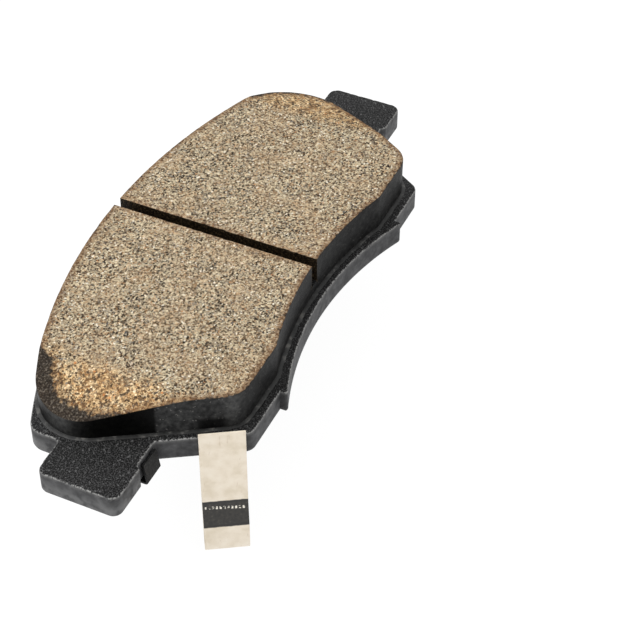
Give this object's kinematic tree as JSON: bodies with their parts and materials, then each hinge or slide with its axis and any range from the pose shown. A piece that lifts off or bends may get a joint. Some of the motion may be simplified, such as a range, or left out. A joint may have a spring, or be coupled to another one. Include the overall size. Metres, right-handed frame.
{
  "type": "disc brake pad",
  "caption": "Disc brake pad: slotted, chamfered friction block moulded on a black steel backing plate with two ears, a clip-on shim and a folded spring strip that signals wear.",
  "frame": {"origin": "middle of the shim's back face, on the pad's centre line at the middle of the friction block's height", "axes": "+Z towards the disc, out of the friction face; +Y away from the disc's axis; +X along the pad, towards the end without the wear strip"},
  "size_m": [0.1494, 0.0609, 0.0449],
  "materials": {
    "plate_paint": "stippled matt black powder coat",
    "bond": "cured resin",
    "underlayer": "moulded, dark",
    "friction": "ground face, speckled beige and grey",
    "shim_rubber": "thin matt coat",
    "shim_steel": "black coated sheet",
    "spring_steel": "bright rolled strip",
    "rivet_steel": "zinc plated"
  },
  "bodies": {
    "pad": {"backing_plate": "plate_paint", "bond_layer": "bond", "underlayer": "underlayer", "friction_block": "friction", "shim_inner_coat": "shim_rubber", "shim": "shim_steel", "shim_outer_coat": "shim_rubber", "indicator_foot": "spring_steel", "indicator_rivet": "rivet_steel"},
    "indicator": {"indicator_blade": "spring_steel"}
  },
  "joints": [
    {"name": "indicator_flex", "type": "hinge", "parent": "pad", "child": "indicator", "pos_m": [-0.0496, -0.02724, -0.02815], "axis": [0.527, -0.8499, 0], "range_deg": [-0.5, 6], "stiffness_Nm_per_rad": 1.8}
  ]
}
